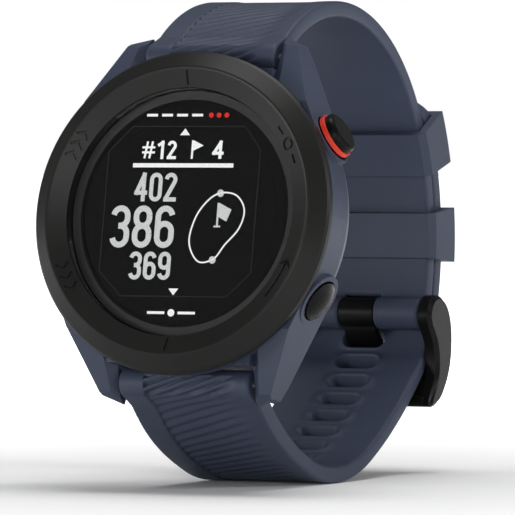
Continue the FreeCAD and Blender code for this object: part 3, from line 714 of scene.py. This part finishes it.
def build_short_strap():
    """The half with the buckle. A window across its end lets the tang through."""
    arcs = short_arcs()
    total = chain_length(arcs)
    top = total - (ROLL_R + ROLL_FILLET)
    places = spaced(0, RIB_END_SHORT, FINE_STEP) + spaced(RIB_END_SHORT, top, SHORT_PLAIN_STEP)
    band = band_stations(arcs, places)
    knuckle, knuckle_place = knuckle_stations(band[0], 1)
    stations = knuckle[::-1] + band + roll_stations(total)[::-1]
    lines = cross_lines((-WINDOW_HALF, WINDOW_HALF))

    def relief(x, place):
        return rib_height(x, place, RIB_SLOPE_SHORT, knuckle_place, RIB_END_SHORT)

    strap = StrapMesh(stations, lines, relief, full_width)
    left, right = lines.index(-WINDOW_HALF), lines.index(WINDOW_HALF)
    pivot = on_arc(ARC_CENTRE, PIVOT_R, math.radians(PIVOT_ANGLE))
    first = next(i for i, s in enumerate(stations)
                 if s.place > RIB_END_SHORT and s.outer[1] < pivot[1] + WINDOW_TOP)
    rows = len(stations) - 1
    window = {(row, column) for row in range(first, rows) for column in range(left, right)}
    strap.skin(window, range(left, right))
    for row in range(first, rows):
        for column in (left, right):
            strap.add_wall((row, column), (row + 1, column))
    for column in range(left, right):
        strap.add_wall((first, column), (first, column + 1))
    piece = make_piece("short_strap_silicone", strap.points, strap.faces, "strap_silicone", "strap")
    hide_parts("short_strap")


def slot_rim(distance):
    """The low soft rim round each slot on the wrist side."""
    return 0.16 * math.exp(-((distance - 0.42) / 0.24) ** 2) - 0.10 * smooth_step(0.25 - distance, 0.0, 0.25)


def long_places(total, slots):
    """Places of the long half's stations, close together where the surface has detail."""
    marks = {0.0, RIB_END_LONG, total}
    marks |= {slot + side * SLOT_REACH for slot in slots for side in (1, -1)}
    marks = sorted(mark for mark in marks if mark <= total)
    places = set()
    for low, high in zip(marks, marks[1:]):
        at_slot = any(abs((low + high) / 2 - slot) < SLOT_REACH for slot in slots)
        step = FINE_STEP if high <= RIB_END_LONG + 0.1 else (SLOT_STEP if at_slot else PLAIN_STEP)
        places.update(spaced(low, high, step))
    places.update(total - distance for distance in EDGE_LINES if distance)
    return sorted(place for place in places if place < total - LEAST_GAP)


def build_long_strap():
    """The half with the adjusting slots; its front bows out a little under the lugs."""
    arcs = long_arcs()
    total = chain_length(arcs)
    round_length = arc_length(arcs[0])
    first_slot = total - round_length - SLOT_START
    slots = [first_slot - index * SLOT_PITCH for index in range(SLOT_COUNT)]
    band = band_stations(arcs, long_places(total, slots))
    knuckle, knuckle_place = knuckle_stations(band[0], -1)
    stations = knuckle[::-1] + band
    lines = cross_lines((-SLOT_REACH_X, SLOT_REACH_X))

    def half_at(place):
        left = total - place
        if left >= TAIL_TIP_R:
            return STRAP_HALF
        return min(STRAP_HALF, math.sqrt(max(0.01, TAIL_TIP_R ** 2 - (TAIL_TIP_R - left) ** 2)))

    def relief(x, place):
        start, full, end = NECK_RISE_PLACES
        rise = NECK_RISE * smooth_step(place, start, full) * (1 - smooth_step(place, full, end))
        return rib_height(x, place, RIB_SLOPE_LONG, knuckle_place, RIB_END_LONG) + rise

    strap = StrapMesh(stations, lines, relief, half_at)
    left, right = lines.index(-SLOT_REACH_X), lines.index(SLOT_REACH_X)

    def nearest_row(place):
        return min(range(len(stations)), key=lambda row: abs(stations[row].place - place))

    cells = [(slot, nearest_row(slot - SLOT_REACH), nearest_row(slot + SLOT_REACH)) for slot in slots]
    strap.skin({(row, column) for slot, low, high in cells for row in range(low, high)
                for column in range(left, right)})
    for index, (slot, low, high) in enumerate(cells):
        add_slot(strap, arcs, slot, low, high, left, right, SLOT_SHIFT if index else TANG_SLOT_SHIFT)
    piece = make_piece("long_strap_silicone", strap.points, strap.faces, "strap_silicone")
    tail = in_loop(0, *band_stations(arcs, [total - round_length + 2])[0].outer)
    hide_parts("long_strap")
    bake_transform(piece)


def add_slot(strap, arcs, slot, low, high, left, right, shift):
    """Rings of faces from a cell's rim to the slot, on both sheets, and the slot's wall."""
    rim = [(low, c) for c in range(left, right)] + [(r, right) for r in range(low, high)]
    rim += [(high, c) for c in range(right, left, -1)] + [(r, left) for r in range(high, low, -1)]
    straight = SLOT_HALF - SLOT_R
    edges = []
    for layer, draft, squeeze, moved in ((0, SLOT_DRAFT, SLOT_SQUEEZE, -shift), (1, 0, 1, 0)):
        spokes = []
        for row, column in rim:
            x, along = strap.lines[column], strap.stations[row].place - slot
            near = min(straight, max(-straight, x))
            size = math.hypot(x - near, along)
            spoke = [strap.grid[layer][row][column]]
            for distance in SLOT_RINGS:
                radius = SLOT_R + distance - draft
                station = band_stations(arcs, [slot + along / size * radius + moved])[0]
                lift = -eased(distance, SLOT_EDGE_R)
                if layer == 1:
                    lift += slot_rim(distance) * (1 - smooth_step(distance, 0.46, 0.7))
                across = near * squeeze + (x - near) / size * radius
                spoke.append(strap.add_point(strap.locate(layer, across, station, lift)))
            spokes.append(spoke)
        for index, here in enumerate(spokes):
            before = spokes[index - 1]
            for step in range(len(here) - 1):
                strap.faces.append((before[step], here[step], here[step + 1], before[step + 1]))
        edges.append([spoke[-1] for spoke in spokes])
    for index in range(len(rim)):
        strap.faces.append((edges[0][index - 1], edges[0][index], edges[1][index], edges[1][index - 1]))


# ---- Keepers ---------------------------------------------------------------------------------------
def build_keeper(name, angle, body):
    """A silicone loop round both strap layers, with its wrist-side corners cut."""
    low, high = ARC_R - KEEPER_PLAY, TAIL_R + STRAP_THICK + KEEPER_PLAY
    half = STRAP_HALF + KEEPER_PLAY
    wall, cut = KEEPER_WALL, KEEPER_CUT
    corner = 0.01                     # the hole's wrist-side corners are cut off by this much
    right = [((half, high), (half + wall, high + wall)),          # (point of the hole, point outside)
             ((half, low + corner), (half + wall, low - wall + cut)),
             ((half - corner, low), (half + wall - cut, low - wall))]
    left = [((-hole[0], hole[1]), (-outside[0], outside[1])) for hole, outside in right]
    section = left + [((0, low), (0, low - wall))] + right[::-1] + [((0, high), (0, high + wall))]
    sweep = KEEPER_LENGTH / (ARC_R + STRAP_THICK)
    steps = 10
    points, faces = [], []
    for step in range(steps + 1):
        turn = math.radians(angle) + sweep * (step / steps - 0.5)
        points += [in_loop(x, *on_arc(ARC_CENTRE, radius, turn)) for pair in section for x, radius in pair]
    size = 2 * len(section)
    for index in range(len(section)):
        here, after = 2 * index, (2 * index + 2) % size
        for step in range(steps):
            near, far = step * size, (step + 1) * size
            for side in (0, 1):
                faces.append((near + here + side, near + after + side, far + after + side, far + here + side))
        for base in (0, steps * size):
            faces.append((base + here, base + after, base + after + 1, base + here + 1))
    piece = make_piece(name + "_silicone", points, faces, "strap_silicone", body)
    round_edges(piece, 0.2, 30)
    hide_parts(name)


# ---- Display ---------------------------------------------------------------------------------------
INK_LEVEL = (-1.63, -1.57)            # heights in the head frame, from below to above
GLASS_PRINT_LEVEL = (-1.515, -1.503)
SHEET_LEVEL = (-1.647, -1.64)
GLASS_PRINT_R = (15.0, 16.66)
SHEET_R = 15.15
ROUND_COUNT = 96


def slab(name, outlines, ink, level=INK_LEVEL):
    """Flat raised shapes on the display, from closed outlines of (x, y) in the head frame."""
    low, high = level
    points, faces = [], []
    for outline in outlines:
        base, count = len(points), len(outline)
        points += [in_head(x, y, high) for x, y in outline]
        points += [in_head(x, y, low) for x, y in outline]
        faces.append(tuple(range(base, base + count)))
        faces.append(tuple(range(base + 2 * count - 1, base + count - 1, -1)))
        for index in range(count):
            after = (index + 1) % count
            faces.append((base + index, base + count + index, base + count + after, base + after))
    piece = make_piece(name, points, faces, "display_black", "head", smooth=False)
    piece.data.materials[0] = ink


def box_outline(x0, x1, y0, y1):
    return [(x0, y0), (x1, y0), (x1, y1), (x0, y1)]


def disc_outline(x, y, radius, count=20):
    return [(x + radius * math.cos(2 * math.pi * i / count), y + radius * math.sin(2 * math.pi * i / count))
            for i in range(count)]


def band_outlines(points, width, closed=True):
    """Short four-cornered links that follow a line at an even width."""
    count = len(points)
    sides = []
    for index, (x, y) in enumerate(points):
        before = points[index - 1] if closed or index else points[0]
        after = points[(index + 1) % count] if closed or index < count - 1 else points[-1]
        dx, dy = unit((after[0] - before[0], after[1] - before[1]))
        sides.append(((x - dy * width / 2, y + dx * width / 2), (x + dy * width / 2, y - dx * width / 2)))
    pairs = [(sides[index], sides[(index + 1) % count]) for index in range(count if closed else count - 1)]
    return [[here[0], here[1], after[1], after[0]] for here, after in pairs]


def smooth_loop(points):
    """A closed Catmull-Rom curve through the points."""
    steps = 8
    found = []
    count = len(points)
    for index in range(count):
        p0, p1, p2, p3 = (points[(index + k) % count] for k in (-1, 0, 1, 2))
        for step in range(steps):
            t = step / steps
            found.append(tuple(0.5 * (2 * b + (c - a) * t + (2 * a - 5 * b + 4 * c - d) * t ** 2
                                      + (3 * b - a - 3 * c + d) * t ** 3)
                               for a, b, c, d in zip(p0, p1, p2, p3)))
    return found


def bend(x, y, rx, ry, first, last):
    """Points along an ellipse from one angle to another, in degrees."""
    steps = 9
    angles = [math.radians(first + (last - first) * i / steps) for i in range(steps + 1)]
    return [(x + rx * math.cos(angle), y + ry * math.sin(angle)) for angle in angles]


def figure_strokes(char, left, right, low, high):
    """Middle lines of a narrow figure: each is a list of points."""
    x, rx = (left + right) / 2, (right - left) / 2
    middle = low + (high - low) * 0.52
    top, foot = high - rx, low + rx
    up_r, low_r = min(rx, (high - middle) / 2), min(rx, (middle - low) / 2)
    if char == "0":
        ring = bend(x, top, rx, rx, 0, 180) + bend(x, foot, rx, rx, 180, 360)
        return [ring + ring[:1]]
    if char == "2":
        return [bend(x, top, rx, rx, 175, -25) + [(left, low)], [(left, low), (right, low)]]
    if char == "3":
        upper = bend(x, top, rx, rx, 172, 0) + bend(x, middle + up_r, rx, up_r, 0, -90)
        lower = bend(x, middle - low_r, rx, low_r, 90, 0) + bend(x, foot, rx, rx, 0, -172)
        return [upper + [(x - rx * 0.25, middle)], [(x - rx * 0.25, middle)] + lower]
    if char == "6":
        spine = bend(x, top, rx, rx, 8, 180) + bend(x, foot, rx, rx, 180, 360)
        return [spine + bend(x, middle + rx * 0.3 - low_r, rx, low_r, 0, 178)]
    if char == "8":
        inset = rx * 0.94
        upper = bend(x, high - inset, inset, inset, 0, 180) + bend(x, middle + up_r, inset, up_r, 180, 360)
        lower = bend(x, middle - low_r, rx, low_r, 0, 180) + bend(x, foot, rx, rx, 180, 360)
        return [upper + upper[:1], lower + lower[:1]]
    if char == "9":
        turned = figure_strokes("6", left, right, low, high)
        return [[(left + right - px, low + high - py) for px, py in stroke] for stroke in turned]
    if char == "4":
        stem, bar = right - rx * 0.45, low + (high - low) * 0.27
        return [[(stem, low), (stem, high)], [(stem, high), (left, bar)], [(left, bar), (right, bar)]]
    if char == "1":
        return [[(right - rx * 0.5, low), (right - rx * 0.5, high)],
                [(right - rx * 0.5, high - 0.05), (left + rx * 0.4, high - rx * 0.75)]]
    tall = high - low                 # what is left is the number sign
    uprights = [[(x + side * rx * 0.45 - rx * 0.2, low), (x + side * rx * 0.45 + rx * 0.2, high)]
                for side in (-1, 1)]
    rungs = [[(left, low + tall * share), (right, low + tall * share)] for share in (0.33, 0.67)]
    return uprights + rungs


def digits(name, text, x0, x1, y0, y1, ink, weight, gap):
    """Narrow figures of even stroke on the display, fitted to a box in the head frame."""
    wide = (x1 - x0 - gap * (len(text) - 1)) / len(text)
    half = weight / 2
    outlines = []
    for index, char in enumerate(text):
        left = x0 + index * (wide + gap)
        for stroke in figure_strokes(char, left + half, left + wide - half, y0 + half, y1 - half):
            if len(stroke) == 2:
                (ax, ay), (bx, by) = stroke
                dx, dy = unit((bx - ax, by - ay))
                reach = half * 0.98
                stroke = [(ax - dx * reach, ay - dy * reach), (bx + dx * reach, by + dy * reach)]
            outlines += band_outlines(stroke, weight, closed=False)
    slab(name, outlines, ink)


def build_heading(white):
    """The hole's number and strokes, a flag between them, and the line below."""
    digits("hole_sign", "#", -7.0, -5.1, 7.45, 9.75, white, 0.28, 0.3)
    digits("hole_number", "12", -4.9, -1.9, 7.35, 9.85, white, 0.4, 0.3)
    digits("hole_strokes", "4", 3.5, 5.15, 7.4, 9.85, white, 0.42, 0.3)
    slab("header_flag", [box_outline(0.35, 0.62, 7.4, 9.9), [(0.62, 9.9), (2.1, 9.2), (0.62, 8.5)]], white)
    slab("header_line", [box_outline(-8.2, 6.75, 6.22, 6.78)], white)


def build_distances(soft):
    digits("back_distance", "402", -7.65, -1.4, 1.6, 5.5, soft, 0.56, 0.32)
    digits("middle_distance", "386", -10.85, -1.3, -4.7, 1.05, soft, 0.8, 0.45)
    digits("front_distance", "369", -7.6, -1.4, -9.0, -5.2, soft, 0.56, 0.32)


def build_signs(white, soft, line):
    """The arrows, the green's outline with its flag, and the picture's border."""
    slab("up_arrow", [[(-1.5, 10.6), (-0.05, 10.6), (-0.8, 11.5)]], white)
    slab("down_arrow", [[(-1.4, -10.15), (-0.65, -11.05), (0.05, -10.15)]], white)
    green = smooth_loop([(1.1, -3.9), (1.75, -0.6), (3.4, 1.75), (5.3, 2.8), (7.6, 2.45), (8.9, 0.5),
                         (8.3, -2.0), (6.4, -4.2), (4.9, -6.1), (2.6, -6.45)])
    slab("green_outline", band_outlines(green, 0.2), white)
    slab("green_marks", [disc_outline(5.2, 2.75, 0.5), disc_outline(4.75, -6.25, 0.5)], soft)
    slab("flag", [box_outline(4.9, 5.15, -1.7, 1.45), box_outline(4.55, 5.5, -1.85, -1.62),
                  [(5.15, 1.45), (7.0, 0.55), (6.35, -1.05), (5.15, -0.45)]], soft)
    border = [(-8.6, 11.8), (8.1, 11.8), (10.6, 8.6), (10.6, -7.9), (7.2, -11.2), (-8.6, -11.2),
              (-12.0, -7.9), (-12.0, 8.4)]
    slab("display_border", band_outlines(border, 0.14), line)


def build_trim(white, red):
    """Generic dashes and pips above and below the picture."""
    dashes = [box_outline(-6.7 + step * 2.25, -5.1 + step * 2.25, 13.15, 13.5) for step in range(4)]
    slab("upper_dashes", dashes, white)
    slab("upper_pips", [disc_outline(2.9 + step * 1.15, 13.32, 0.34) for step in range(3)], red)
    bars = [box_outline(-4.3, -1.75, -13.6, -13.25), box_outline(0.25, 2.8, -13.6, -13.25)]
    slab("lower_dashes", bars + [disc_outline(-0.75, -13.42, 0.5)], white)


def build_display():
    black = MATERIALS["display_black"]
    inner, outer = (disc_outline(0, 0, radius, ROUND_COUNT) for radius in GLASS_PRINT_R)
    quads = [[inner[i - 1], outer[i - 1], outer[i], inner[i]] for i in range(ROUND_COUNT)]
    slab("glass_print", quads, black, GLASS_PRINT_LEVEL)
    slab("display_sheet", [disc_outline(0, 0, SHEET_R, ROUND_COUNT)], black, SHEET_LEVEL)
    white = lit_ink("ink_white", (0.85, 0.87, 0.86), 1.05)
    soft = lit_ink("ink_soft", (0.62, 0.64, 0.63), 0.95)
    red = lit_ink("ink_red", (0.70, 0.03, 0.025), 0.9)
    line = lit_ink("ink_line", (0.02, 0.02, 0.021), 0.9)
    build_heading(white)
    build_distances(soft)
    build_signs(white, soft, line)
    build_trim(white, red)


add_camera()
add_studio()
dress_frame()
build_short_strap()
build_long_strap()
for keeper_name, (keeper_angle, keeper_body) in KEEPERS.items():
    build_keeper(keeper_name, keeper_angle, keeper_body)
build_display()
